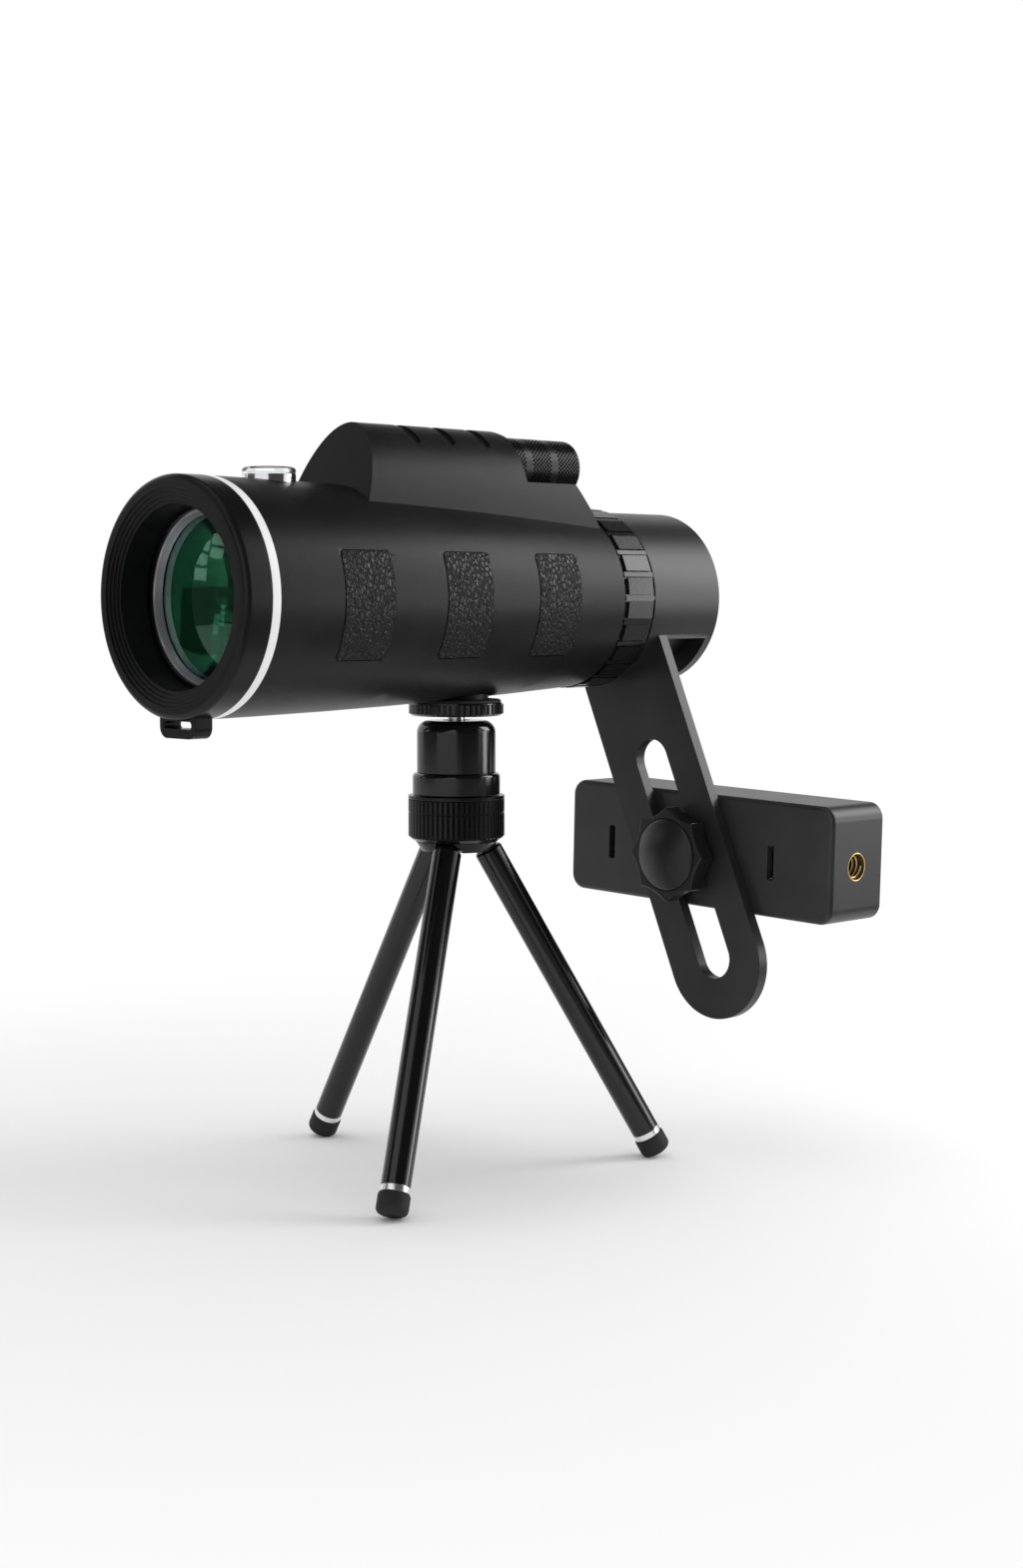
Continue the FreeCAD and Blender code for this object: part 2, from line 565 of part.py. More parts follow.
def hub():
    body = turned_z([(6.0, -41), (HUB_NECK_R, -41), (HUB_NECK_R, NECK_Z[0]), (HUB_R, NECK_Z[0]),
                     (HUB_R, -60.4), (10.2, -60.4), (8.7, -62.8), (0, -62.8), (0, -55.5),
                     (2.6, -55.5), (2.6, -48.0), (6.0, -48.0)])
    cuts = [box(-11, 11, TRIPOD_Y - 1.05, TRIPOD_Y + 1.05, PIN_Z - 1.6, PIN_Z + 1.6)]
    slot = box(3.3 - PIVOT_R, 9, -2.3, 2.3, -6, 2.8)
    room = LEG_R + 0.35
    notch = box(-4.2, 6, -room, room, -20, 0.3 - LEG_TOP)
    pin = rod_y(1.25, -4.4, 4.4)
    pins = []
    for angle in LEG_ANGLES:
        cuts += [stand_leg(slot, angle, 0), stand_leg(notch, angle)]
        pins.append(stand_leg(pin, angle, 0))
    save("tripod_hub", body.cut(cuts).cut(pins))
    save("leg_pins", *pins)


# ---- camera arm ---------------------------------------------------------------------------------
def along_arm(a, c=0.0):
    """(x, z) of a point a down the arm's centre line and c across it."""
    t = math.radians(ARM_TILT)
    return (a * math.sin(t) + c * math.cos(t), -a * math.cos(t) + c * math.sin(t))


LINER_R = 15.8
REAR_T = 2.5
LIP_Z = -9.4
LIP_H = 1.1


def camera_arm():
    arm_end = ARM_Y + ARM_T
    rear = SLEEVE_END - REAR_T
    plate = stadium_y((0, 0), along_arm(ARM_REACH), ARM_W, ARM_Y, arm_end)
    front = rod_y(SLEEVE_R, SLEEVE_Y, arm_end)
    tube = rod_y(LINER_R + 1.6, arm_end, rear)
    back = rod_y(SLEEVE_R, rear, SLEEVE_END)
    shell = ring_y(SLEEVE_R, SLEEVE_R - 1.6, arm_end, rear)
    shell = shell.cut(box(-30, 30, 100, 200, -40, LIP_Z))
    edge = math.sqrt(SLEEVE_R ** 2 - LIP_Z ** 2)
    lips = [box(edge - 1.9, edge, arm_end, rear, LIP_Z - LIP_H, LIP_Z),
            box(-edge, 1.9 - edge, arm_end, rear, LIP_Z - LIP_H, LIP_Z)]
    body = plate.fuse([front, tube, back, shell] + lips)
    slot = stadium_y(along_arm(SLOT_A), along_arm(SLOT_B), SLOT_W, ARM_Y - 1, arm_end + 1)
    body = body.cut([slot, rod_y(LINER_R, SLEEVE_Y - 1, rear), rod_y(13.5, rear - 1, SLEEVE_END + 1)])
    save("camera_arm", body)
    save("sleeve_liner", ring_y(LINER_R, EYE_R + RUN, SLEEVE_Y + 0.2, rear))


# ---- clamp --------------------------------------------------------------------------------------
SCREW_XZ = along_arm(SCREW_AT)
CLAMP_X = (-41.8, 46.3)          # ends, from the screw
CLAMP_Z = (-13.8, 15.6)
CAVITY_X = (-39.6, 34.0)
CAVITY_Z = (-11.6, 13.4)
FRONT_T = 2.0
NECK_SCREW_R = 3.0               # the screw where it passes the housing's front
COVER_Y = 159.6
RODS_Z = (-4.6, 6.4)
GUIDE_R = 1.5
GUIDE_Y = 152.0
STEM_X = (0.0, 8.0)
JAW_GAP = 56.0
JAW_X = -36.0                    # fixed finger, inner face
JAW_Y = (161.75, 175.6)
PAD_T = 1.0
OPEN = 25.0
INSERT_R = 3.6                   # brass insert in the end face
INSERT_X = 38.3
INSERT_YZ = (151.6, 0.3)
THREAD_R = 2.6
BEHIND_R = 3.1                   # hole past the insert
COVER_SCREWS = [(x, z) for x in (-37.0, 41.0) for z in (-9.4, 11.2)]


def place_clamp(shape):
    shape = shape.copy()
    shape.rotate(V(0, 0, 0), V(0, 1, 0), CLAMP_ROLL)
    shape.translate(V(SCREW_XZ[0], 0, SCREW_XZ[1]))
    return shape


def clamp_housing():
    body = rounded_box(*CLAMP_X, CLAMP_Y, CLAMP_END, *CLAMP_Z, 4.0, V(0, 1, 0))
    rims = [e for e in body.Edges if max(abs(v.Point.y - CLAMP_Y) for v in e.Vertexes) < 1e-6]
    body = body.makeFillet(1.2, rims)
    cavity = box(*CAVITY_X, CLAMP_Y + FRONT_T, COVER_Y, *CAVITY_Z)
    recess = rounded_box(CLAMP_X[0] + 1.4, CLAMP_X[1] - 1.4, COVER_Y, CLAMP_END + 1,
                         CLAMP_Z[0] + 1.4, CLAMP_Z[1] - 1.4, 2.6, V(0, 1, 0))
    body = body.cut([cavity, recess])
    posts = [box(CAVITY_X[0] - 0.5, -34.6, CLAMP_Y + 1, COVER_Y, *span)
             for span in ((CAVITY_Z[0] - 0.5, -7.0), (8.8, CAVITY_Z[1] + 0.5))]
    body = body.fuse(posts)
    holes = [rod_y(NECK_SCREW_R + RUN, CLAMP_Y - 1, 150, 0, 0),
             rod_x(INSERT_R, INSERT_X, 50, *INSERT_YZ), rod_x(BEHIND_R, 30, 50, *INSERT_YZ)]
    holes += [rounded_box(s * 27 - 1.0, s * 27 + 1.0, 140, 144, -4.4, 4.4, 0.6, V(0, 1, 0))
              for s in (1, -1)]
    holes += [box(-18.6, -17.4, 140, 142.4, -4.4, -2.2)]
    holes += [rod_x(GUIDE_R, CAVITY_X[0] - 1.2, CAVITY_X[1] + 2.0, GUIDE_Y, z) for z in RODS_Z]
    holes += [rod_y(1.0, 153, CLAMP_END, x, z) for x, z in COVER_SCREWS]
    save("clamp_housing", place_clamp(body.cut(holes)))
    insert = rod_x(INSERT_R, INSERT_X, CLAMP_X[1], *INSERT_YZ).cut(rod_x(THREAD_R, 30, 50, *INSERT_YZ))
    save("thread_insert", place_clamp(insert))
    save("guide_bars", *[place_clamp(rod_x(GUIDE_R, CAVITY_X[0] - 1.2, CAVITY_X[1] + 2.0, GUIDE_Y, z))
                         for z in RODS_Z])


def finger(x_in, out):
    """Hooked finger with its gripping face at x_in and its thickness on the out side."""
    lo, hi = sorted((x_in, x_in + out * 4.5))
    post = rounded_box(lo, hi, *JAW_Y, -10.5, 11.5, 2.0, V(0, 1, 0))
    lo, hi = sorted((x_in - out * 3.0, x_in + out * 4.0))
    hook = rounded_box(lo, hi, 173.0, JAW_Y[1], -10.5, 11.5, 1.2, V(0, 1, 0))
    return post.fuse(hook)


def clamp_jaws():
    cover = rounded_box(CLAMP_X[0] + 1.4, CLAMP_X[1] - 1.4, COVER_Y, CLAMP_END,
                        CLAMP_Z[0] + 1.4, CLAMP_Z[1] - 1.4, 2.6, V(0, 1, 0))
    post = finger(JAW_X, -1).fuse(box(JAW_X - 4.3, JAW_X, CLAMP_END - 0.5, 163, -8.5, 9.5))
    slot = box(STEM_X[0] - 0.4, STEM_X[1] + OPEN + 0.4, 150, 170, -4.4, 6.2)
    screws = [rod_y(2.0, 160.6, CLAMP_END, x, z).fuse(rod_y(1.0, 153, 160.6, x, z))
              for x, z in COVER_SCREWS]
    post = post.cut(rod_y(2.05, 159, 180, -37.0, 11.2)).cut(rod_y(2.05, 159, 180, -37.0, -9.4))
    cover = cover.fuse(post).cut([slot] + screws)
    save("clamp_cover", place_clamp(cover))
    save("cover_screws", *[place_clamp(s) for s in screws])
    strip = box(-34.0, -4.0, CLAMP_END, 163.1, -9.0, 10.0)
    grip = box(JAW_X, JAW_X + PAD_T, 163.3, 172.9, -9.5, 10.5)
    save("clamp_pads", place_clamp(strip), place_clamp(grip))
    x1 = JAW_X + JAW_GAP
    carriage = box(STEM_X[0] - 1, STEM_X[1] + 0.7, 147.0, 158.9, -8.6, 10.4)
    stem = box(*STEM_X, 158, 162.5, -4.0, 5.8)
    plate = box(STEM_X[0], x1 + 2, CLAMP_END + 0.15, 163.1, -8.5, 9.5)
    jaw = carriage.fuse([stem, plate, finger(x1, 1)])
    jaw = jaw.cut([rod_x(GUIDE_R + RUN, -30, 40, GUIDE_Y, z) for z in RODS_Z])
    save("sliding_jaw", place_clamp(jaw))
    save("sliding_jaw_pad", place_clamp(box(x1 - PAD_T, x1, 163.3, 172.9, -9.5, 10.5)))
    wire_r, coil_r, turns = 0.35, 2.4, 7
    length = STEM_X[0] - 1 - CAVITY_X[0] - 2 * wire_r - 0.1
    helix = Part.makeHelix(length / turns, length, coil_r)
    section = Part.Wire(Part.makeCircle(wire_r, V(coil_r, 0, 0), V(0, 1, 0)))
    coil = Part.Wire(helix).makePipeShell([section], True, True)
    coil.rotate(V(0, 0, 0), V(0, 1, 0), 90)
    coil.translate(V(CAVITY_X[0] + wire_r + 0.05, GUIDE_Y, 0.9))
    save("jaw_spring", place_clamp(coil))


LOBES = 8                        # star knob
TIP_R = 12.3
VALLEY_R = 10.5
STAR_Y = (132.5, 137.3)
SHANK_R = 2.5
CAP_R = 9.2
CAP_T = 2.3
CAP_SEAT = 0.8


def star_outline():
    """Eight pointed lobes: between each two tips the rim bows in to the valley radius."""
    def rim(r, k):
        a = 2 * math.pi * k / LOBES
        return V(r * math.cos(a), STAR_Y[0], r * math.sin(a))

    return Part.Wire([Part.Arc(rim(TIP_R, k), rim(VALLEY_R, k + 0.5), rim(TIP_R, k + 1)).toShape()
                      for k in range(LOBES)])


def knob():
    x, z = SCREW_XZ
    screw = rod_y(SHANK_R, STAR_Y[0] + CAP_SEAT + 0.1, ARM_Y).fuse([
        rod_y(SLOT_W - RUN, ARM_Y, CLAMP_Y - 0.05), rod_y(NECK_SCREW_R, CLAMP_Y - 0.1, 143.8),
        rod_y(5.5, 143.65, 146.2)])
    screw.translate(V(x, 0, z))
    save("knob_screw", screw)
    star = Part.Face(star_outline()).extrude(V(0, STAR_Y[1] - STAR_Y[0], 0))
    tips = [e for e in star.Edges if abs(e.Vertexes[0].Point.y - e.Vertexes[-1].Point.y) > 1]
    star = star.makeFillet(0.5, tips)
    seat = STAR_Y[0] + CAP_SEAT
    star = star.fuse(rod_y(7.5, STAR_Y[1] - 0.1, ARM_Y - 0.2))
    star = star.cut([rod_y(SHANK_R + RUN, seat, ARM_Y), rod_y(CAP_R, STAR_Y[0] - 1, seat)])
    star.translate(V(x, 0, z))
    save("star_knob", star)
    top = STAR_Y[0] - CAP_T
    save("knob_cap", turned_y([(0, top), dome(top, STAR_Y[0] - 0.1, CAP_R), (CAP_R, seat),
                               (0, seat)], x, z))


def main():
    os.makedirs("parts", exist_ok=True)
    barrel_shell()
    grip_pads()
    objective_ring()
    objective_parts()
    prisms()
    focusing()
    diopter_ring()
    eyepiece()
    compass()
    head()
    hub()
    legs()
    camera_arm()
    clamp_housing()
    clamp_jaws()
    knob()


main()
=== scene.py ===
import json
import math

import bpy
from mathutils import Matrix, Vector

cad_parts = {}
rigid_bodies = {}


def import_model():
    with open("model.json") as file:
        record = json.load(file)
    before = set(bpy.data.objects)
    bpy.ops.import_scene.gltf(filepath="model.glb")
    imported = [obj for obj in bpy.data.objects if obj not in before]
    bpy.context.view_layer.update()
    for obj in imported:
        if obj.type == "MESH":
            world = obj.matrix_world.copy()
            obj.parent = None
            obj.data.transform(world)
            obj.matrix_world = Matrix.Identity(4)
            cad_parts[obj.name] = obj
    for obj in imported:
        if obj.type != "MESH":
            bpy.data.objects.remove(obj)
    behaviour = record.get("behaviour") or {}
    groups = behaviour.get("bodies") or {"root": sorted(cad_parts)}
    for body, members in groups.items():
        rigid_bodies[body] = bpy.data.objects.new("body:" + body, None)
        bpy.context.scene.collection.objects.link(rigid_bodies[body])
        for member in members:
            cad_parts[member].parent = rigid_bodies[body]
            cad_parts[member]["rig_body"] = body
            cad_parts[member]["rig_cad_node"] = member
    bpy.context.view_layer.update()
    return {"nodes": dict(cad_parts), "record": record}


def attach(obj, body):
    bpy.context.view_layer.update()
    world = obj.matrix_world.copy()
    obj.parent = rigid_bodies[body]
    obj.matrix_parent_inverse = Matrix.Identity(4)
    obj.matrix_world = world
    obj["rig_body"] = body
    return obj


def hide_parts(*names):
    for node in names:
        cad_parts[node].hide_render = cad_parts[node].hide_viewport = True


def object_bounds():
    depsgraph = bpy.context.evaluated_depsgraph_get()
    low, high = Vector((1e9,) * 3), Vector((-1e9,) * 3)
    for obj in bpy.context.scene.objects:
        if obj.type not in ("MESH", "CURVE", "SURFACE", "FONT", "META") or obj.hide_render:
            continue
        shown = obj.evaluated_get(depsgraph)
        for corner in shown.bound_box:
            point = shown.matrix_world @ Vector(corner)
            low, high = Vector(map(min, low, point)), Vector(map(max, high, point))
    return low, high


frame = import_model()
mm = 0.001


# a shader socket that can be added, multiplied and passed on
class Wire:
    def __init__(self, finish, socket):
        self.finish = finish
        self.socket = socket

    def maths(self, operation, *values, clamp=False):
        settings = {"operation": operation, "use_clamp": clamp}
        return self.finish.node("ShaderNodeMath", settings, dict(enumerate(values)))

    def __add__(self, other):
        return self.maths("ADD", self, other)

    def __radd__(self, other):
        return self.maths("ADD", other, self)

    def __sub__(self, other):
        return self.maths("SUBTRACT", self, other)

    def __rsub__(self, other):
        return self.maths("SUBTRACT", other, self)

    def __mul__(self, other):
        return self.maths("MULTIPLY", self, other)

    def __rmul__(self, other):
        return self.maths("MULTIPLY", other, self)

    def __pow__(self, other):
        return self.maths("POWER", self, other)

    def __rpow__(self, other):
        return self.maths("POWER", other, self)

    def rounded(self):
        return self.maths("ROUND", self)

    def size(self):
        return self.maths("ABSOLUTE", self)

    def clamped(self):
        return self.maths("ADD", self, 0.0, clamp=True)

    def ramped(self, low, high, toLow=0.0, toHigh=1.0):
        return self.finish.node(
            "ShaderNodeMapRange", {"interpolation_type": "SMOOTHSTEP"},
            {"Value": self, "From Min": low, "From Max": high, "To Min": toLow, "To Max": toHigh})


class Finish:
    # one material; node() adds any node with its settings first and its inputs after
    def __init__(self, name, **shader):
        self.material = bpy.data.materials.new(name)
        self.material.use_nodes = True
        self.tree = self.material.node_tree
        self.tree.nodes.clear()
        self.shader = self.tree.nodes.new("ShaderNodeBsdfPrincipled")
        self.end = self.tree.nodes.new("ShaderNodeOutputMaterial")
        self.tree.links.new(self.shader.outputs[0], self.end.inputs["Surface"])
        self.feed(**shader)

    def put(self, target, value):
        if isinstance(value, Wire):
            self.tree.links.new(value.socket, target)
        else:
            target.default_value = value

    def node(self, kind, settings=None, inputs=None, output=0):
        made = self.tree.nodes.new(kind)
        for name, value in (settings or {}).items():
            if name == "stops":
                ramp = made.color_ramp
                while len(ramp.elements) < len(value):
                    ramp.elements.new(0.5)
                for stop, (place, colour) in zip(ramp.elements, value):
                    stop.position = place
                    stop.color = (*colour, 1)
            else:
                setattr(made, name, value)
        for name, value in (inputs or {}).items():
            self.put(made.inputs[name], value)
        return Wire(self, made.outputs[output])

    def feed(self, **inputs):
        names = {s.name.replace(" ", "").lower(): s for s in self.shader.inputs}
        for name, value in inputs.items():
            self.put(names[name.lower()], value)

    def place(self, scale=(1, 1, 1), rotation=(0, 0, 0), location=(0, 0, 0)):
        here = self.node("ShaderNodeTexCoord", output="Object")
        return self.node("ShaderNodeMapping", {}, {
            "Vector": here, "Scale": scale, "Rotation": rotation, "Location": location})

    def axes(self, vector=None):
        split = self.node("ShaderNodeSeparateXYZ", {}, {"Vector": vector or self.place()})
        outs = split.socket.node.outputs
        return [Wire(self, outs[i]) for i in range(3)]

    def noise(self, size, detail=3.0, roughness=0.5, stretch=(1, 1, 1)):
        where = self.place(scale=stretch)
        return self.node("ShaderNodeTexNoise", {}, {
            "Vector": where, "Scale": 1 / size, "Detail": detail, "Roughness": roughness})

    def bump(self, height, depth, strength=1.0):
        made = self.node("ShaderNodeBump", {}, {"Height": height, "Distance": depth, "Strength": strength})
        self.feed(Normal=made)
        return made

    def mixed(self, factor, first, second):
        made = self.node("ShaderNodeMix", {"data_type": "RGBA"}, {}, output="Result")
        node = made.socket.node
        self.put(node.inputs[0], factor)
        for slot, value in ((6, first), (7, second)):
            self.put(node.inputs[slot], value if isinstance(value, Wire) else (*value, 1))
        return Wire(self, node.outputs[2])


def mouldedBlack(name, tone, shine, grain, depth, level=0.35):
    # black plastic with a fine spark-eroded grain and a slight unevenness of shine
    coat = Finish(name, SpecularIORLevel=level)
    cloud = coat.noise(14 * mm, 2.0)
    fine = coat.noise(grain, 2.0, 0.6)
    dark = tuple(c * 0.82 for c in tone)
    light = tuple(c * 1.2 for c in tone)
    coat.feed(BaseColor=coat.mixed(cloud.ramped(0.3, 0.7), dark, light),
              Roughness=(shine + (cloud - 0.5) * 0.08 + (fine - 0.5) * 0.1).clamped())
    coat.bump(fine, depth)
    return coat.material


def glossBlack(name, tone, shine, level=0.5):
    # polished black with the faint waviness of a moulded or sprayed skin
    coat = Finish(name, SpecularIORLevel=level)
    wave = coat.noise(6 * mm, 2.0)
    dust = coat.noise(0.5 * mm, 3.0, 0.6)
    coat.feed(BaseColor=coat.mixed(wave.ramped(0.35, 0.65), tuple(c * 0.8 for c in tone), tone),
              Roughness=(shine + (wave - 0.5) * 0.06 + (dust - 0.5) * 0.05).clamped())
    coat.bump(wave, 0.02 * mm)
    return coat.material


def turnedMetal(name, tone, shine, pitch, axis="Z", metallic=1.0):
    # fine tool marks round the piece
    coat = Finish(name, Metallic=metallic)
    stretch = {"X": (1, 0.02, 0.02), "Y": (0.02, 1, 0.02), "Z": (0.02, 0.02, 1)}[axis]
    marks = coat.noise(pitch, 2.0, 0.6, stretch)
    stain = coat.noise(5 * mm, 2.0)
    coat.feed(BaseColor=coat.mixed(stain.ramped(0.3, 0.7), tuple(c * 0.88 for c in tone), tone),
              Roughness=(shine + (marks - 0.5) * 0.16).clamped())
    coat.bump(marks, 0.01 * mm)
    return coat.material


def softRubber(name, tone, grain, depth, shine=0.62):
    # dull rubber with a fine grain and rubbed patches
    coat = Finish(name, SpecularIORLevel=0.3)
    fine = coat.noise(grain, 3.0, 0.6)
    wear = coat.noise(8 * mm, 2.0)
    dark = tuple(c * 0.8 for c in tone)
    light = tuple(c * 1.25 for c in tone)
    coat.feed(BaseColor=coat.mixed(wear.ramped(0.3, 0.7), dark, light),
              Roughness=(shine + (fine - 0.5) * 0.14).clamped())
    coat.bump(fine, depth)
    return coat.material


def leatherGrain(name, tone):
    # pebbled skin: irregular cells with creases between them, drawn out into upright wrinkles
    coat = Finish(name, SpecularIORLevel=0.34)
    grain = {"cell": 1.05 * mm, "sway": 0.8 * mm, "crease": 0.24, "depth": 0.2 * mm, "wrinkle": 2.0 * mm}
    sway = coat.node("ShaderNodeTexNoise", {}, {
        "Vector": coat.place(), "Scale": 0.8 / mm, "Detail": 2.0}, output="Color")
    bent = coat.node("ShaderNodeVectorMath", {"operation": "MULTIPLY_ADD"}, {
        0: sway, 1: [grain["sway"]] * 3, 2: coat.place(scale=(1.0, 1.2, 0.62))})
    cells = coat.node("ShaderNodeTexVoronoi", {"feature": "DISTANCE_TO_EDGE"}, {
        "Vector": bent, "Scale": 1 / grain["cell"]})
    pebble = cells.ramped(0.0, grain["crease"])
    wrinkle = coat.noise(grain["wrinkle"], 2.0, 0.5, (1.0, 1.0, 0.35)).ramped(0.35, 0.65)
    fine = coat.noise(0.3 * mm, 2.0)
    # painted shade: the creases between the pebbles are coloured far darker than the pebble tops
    coat.feed(BaseColor=coat.mixed(pebble, tuple(c * 0.35 for c in tone), tone),
              Roughness=(0.36 + (1 - pebble) * 0.3 + (fine - 0.5) * 0.1).clamped())
    coat.bump(pebble + wrinkle * 0.5 + fine * 0.1, grain["depth"])
    return coat.material


def paleLacquer(name, tone, shine):
    # white enamel over turned metal, so a trace of the tool marks shows
    coat = Finish(name, SpecularIORLevel=0.5)
    marks = coat.noise(0.5 * mm, 2.0, 0.6, (0.02, 1, 0.02))
    stain = coat.noise(6 * mm, 2.0)
    coat.feed(BaseColor=coat.mixed(stain.ramped(0.3, 0.7), tuple(c * 0.95 for c in tone), tone),
              Roughness=(shine + (marks - 0.5) * 0.16).clamped())
    coat.bump(marks, 0.01 * mm)
    return coat.material


def coatedGlass(name, tint, level=0.5):
    # clear glass with a trace of haze
    coat = Finish(name, TransmissionWeight=0.985, IOR=1.52, SpecularIORLevel=level)
    haze = coat.noise(9 * mm, 2.0)
    coat.feed(BaseColor=coat.mixed(haze.ramped(0.3, 0.7), tuple(c * 0.92 for c in tint), tint),
              Roughness=(haze * 0.03).clamped())
    return coat


def frontGlass():
    # green coating that turns violet towards the edge
    glass = {"green": (0.16, 0.55, 0.34), "violet": (0.22, 0.3, 0.4), "from": 14 * mm, "to": 20 * mm,
             "mirrored": (0.25, 1.0, 0.6, 1), "level": 0.3}
    coat = coatedGlass("greenCoatedGlass", glass["green"], glass["level"])
    x, y, z = coat.axes()
    edge = ((x * x + z * z) ** 0.5).ramped(glass["from"], glass["to"])
    coat.feed(BaseColor=coat.mixed(edge, glass["green"], glass["violet"]), SpecularTint=glass["mirrored"])
    return coat.material


def mountNamed(name):
    return next(mount for mount in frame["record"]["mounts"] if mount["name"] == name)


def threadedBrass(name, tone, grooveShadeColour):
    # bright crests and lip, with the grooves of the thread painted dark brown as painted shade, and made
    # rougher
    coat = Finish(name, Metallic=0.6)
    shadeBand = {"lean": 0.028, "crest": (2.7 * mm, 2.98 * mm), "lip": (3.2 * mm, 3.26 * mm)}
    x, y, z = coat.axes(coat.place(location=[-c for c in mountNamed("clamp_thread")["pos_m"]]))
    r = (y * y + (z + x * shadeBand["lean"]) ** 2.0) ** 0.5
    # painted shade: between these radii the thread roots take the dark groove colour
    paintedShadeGroove = r.ramped(*shadeBand["crest"]) * (1 - r.ramped(*shadeBand["lip"]))
    marks = coat.noise(0.3 * mm, 2.0, 0.6, (1, 0.02, 0.02))
    coat.feed(BaseColor=coat.mixed(paintedShadeGroove, tone, grooveShadeColour),
              Roughness=(0.3 + paintedShadeGroove * 0.25 + (marks - 0.5) * 0.14).clamped())
    return coat.material


def compassDial(name, middle, top):
    # pale card with a ring of ticks, and the needle that stands on it in red and black
    dial = {"ticks": 24, "inner": 3.5 * mm, "outer": 4.5 * mm, "soft": 0.05 * mm,
            "pale": (0.8, 0.8, 0.76), "ink": (0.02, 0.02, 0.02), "north": (0.6, 0.03, 0.02)}
    coat = Finish(name, SpecularIORLevel=0.35)
    x, y, z = coat.axes(coat.place(location=(0, -middle, 0)))
    r = (x * x + y * y) ** 0.5
    turn = x.maths("ARCTAN2", y, x) * (dial["ticks"] / (2 * math.pi))
    tick = 1 - (turn - turn.rounded()).size().ramped(0.08, 0.14)
    ring = (r.ramped(dial["inner"], dial["inner"] + dial["soft"])
            * (1 - r.ramped(dial["outer"], dial["outer"] + dial["soft"])))
    needle = z.ramped(top + 0.03 * mm, top + 0.08 * mm)
    card = coat.mixed(tick * ring, dial["pale"], dial["ink"])
    ends = coat.mixed(y.ramped(-dial["soft"], dial["soft"]), dial["north"], dial["ink"])
    paper = coat.noise(0.4 * mm, 2.0)
    coat.feed(BaseColor=coat.mixed(needle, card, ends),
              Roughness=(0.5 + (paper - 0.5) * 0.2).clamped())
    return coat.material


print("finishes")
barrelCoat = mouldedBlack("barrelCoat", (0.0095, 0.0095, 0.01), 0.38, 0.22 * mm, 0.012 * mm, 0.18)
ringCoat = mouldedBlack("frontRingCoat", (0.006, 0.006, 0.0065), 0.3, 0.3 * mm, 0.006 * mm, 0.2)
hoodCoat = mouldedBlack("hoodFlatBlack", (0.006, 0.006, 0.007), 0.62, 0.3 * mm, 0.01 * mm, 0.2)
dioptreCoat = mouldedBlack("dioptreCoat", (0.007, 0.007, 0.0075), 0.26, 0.3 * mm, 0.006 * mm, 0.4)
armCoat = mouldedBlack("armCoat", (0.017, 0.017, 0.0175), 0.38, 0.25 * mm, 0.008 * mm, 0.42)
clampCoat = mouldedBlack("clampCoat", (0.018, 0.018, 0.0185), 0.4, 0.25 * mm, 0.01 * mm, 0.5)
innerCoat = mouldedBlack("innerPlastic", (0.02, 0.02, 0.021), 0.55, 0.35 * mm, 0.01 * mm, 0.25)
knobCoat = mouldedBlack("knobCoat", (0.010, 0.010, 0.0105), 0.32, 0.3 * mm, 0.006 * mm)
headGloss = glossBlack("headGloss", (0.004, 0.004, 0.004), 0.12)
collarCoat = glossBlack("collarCoat", (0.004, 0.004, 0.004), 0.22, 0.28)
legPaint = glossBlack("legPaint", (0.004, 0.004, 0.004), 0.14)
padLeather = leatherGrain("padLeather", (0.009, 0.009, 0.0095))
footRubber = softRubber("footRubber", (0.014, 0.014, 0.014), 0.5 * mm, 0.02 * mm)
eyeRubber = softRubber("eyeRubber", (0.018, 0.018, 0.018), 0.6 * mm, 0.02 * mm)
paleTrim = paleLacquer("paleTrim", (0.88, 0.88, 0.88), 0.3)
paleLegRing = turnedMetal("paleLegRing", (0.93, 0.93, 0.93), 0.25, 0.4 * mm)
brightSteel = turnedMetal("brightSteel", (0.62, 0.62, 0.64), 0.26, 0.4 * mm)
turnedBrass = turnedMetal("turnedBrass", (0.93, 0.66, 0.24), 0.34, 0.3 * mm, "X", 0.6)
violetRetainer = turnedMetal("violetRetainer", (0.84, 0.79, 0.86), 0.32, 0.3 * mm, "Y", 0.85)
blackCell = turnedMetal("blackCell", (0.02, 0.02, 0.022), 0.4, 0.3 * mm, "Y")
# the last colour is the painted shade in the thread grooves
threadBrass = threadedBrass("threadBrass", (0.95, 0.68, 0.26), (0.035, 0.018, 0.006))
dialCard = compassDial("dialCard", 26.8 * mm, 27.6 * mm)
compassChrome = turnedMetal("compassChrome", (0.8, 0.8, 0.82), 0.12, 0.4 * mm)
frontCoating = frontGlass()
clearGlass = coatedGlass("clearGlass", (0.93, 0.97, 0.95), 0.1).material
domeClear = coatedGlass("domeClear", (0.96, 0.98, 0.98)).material

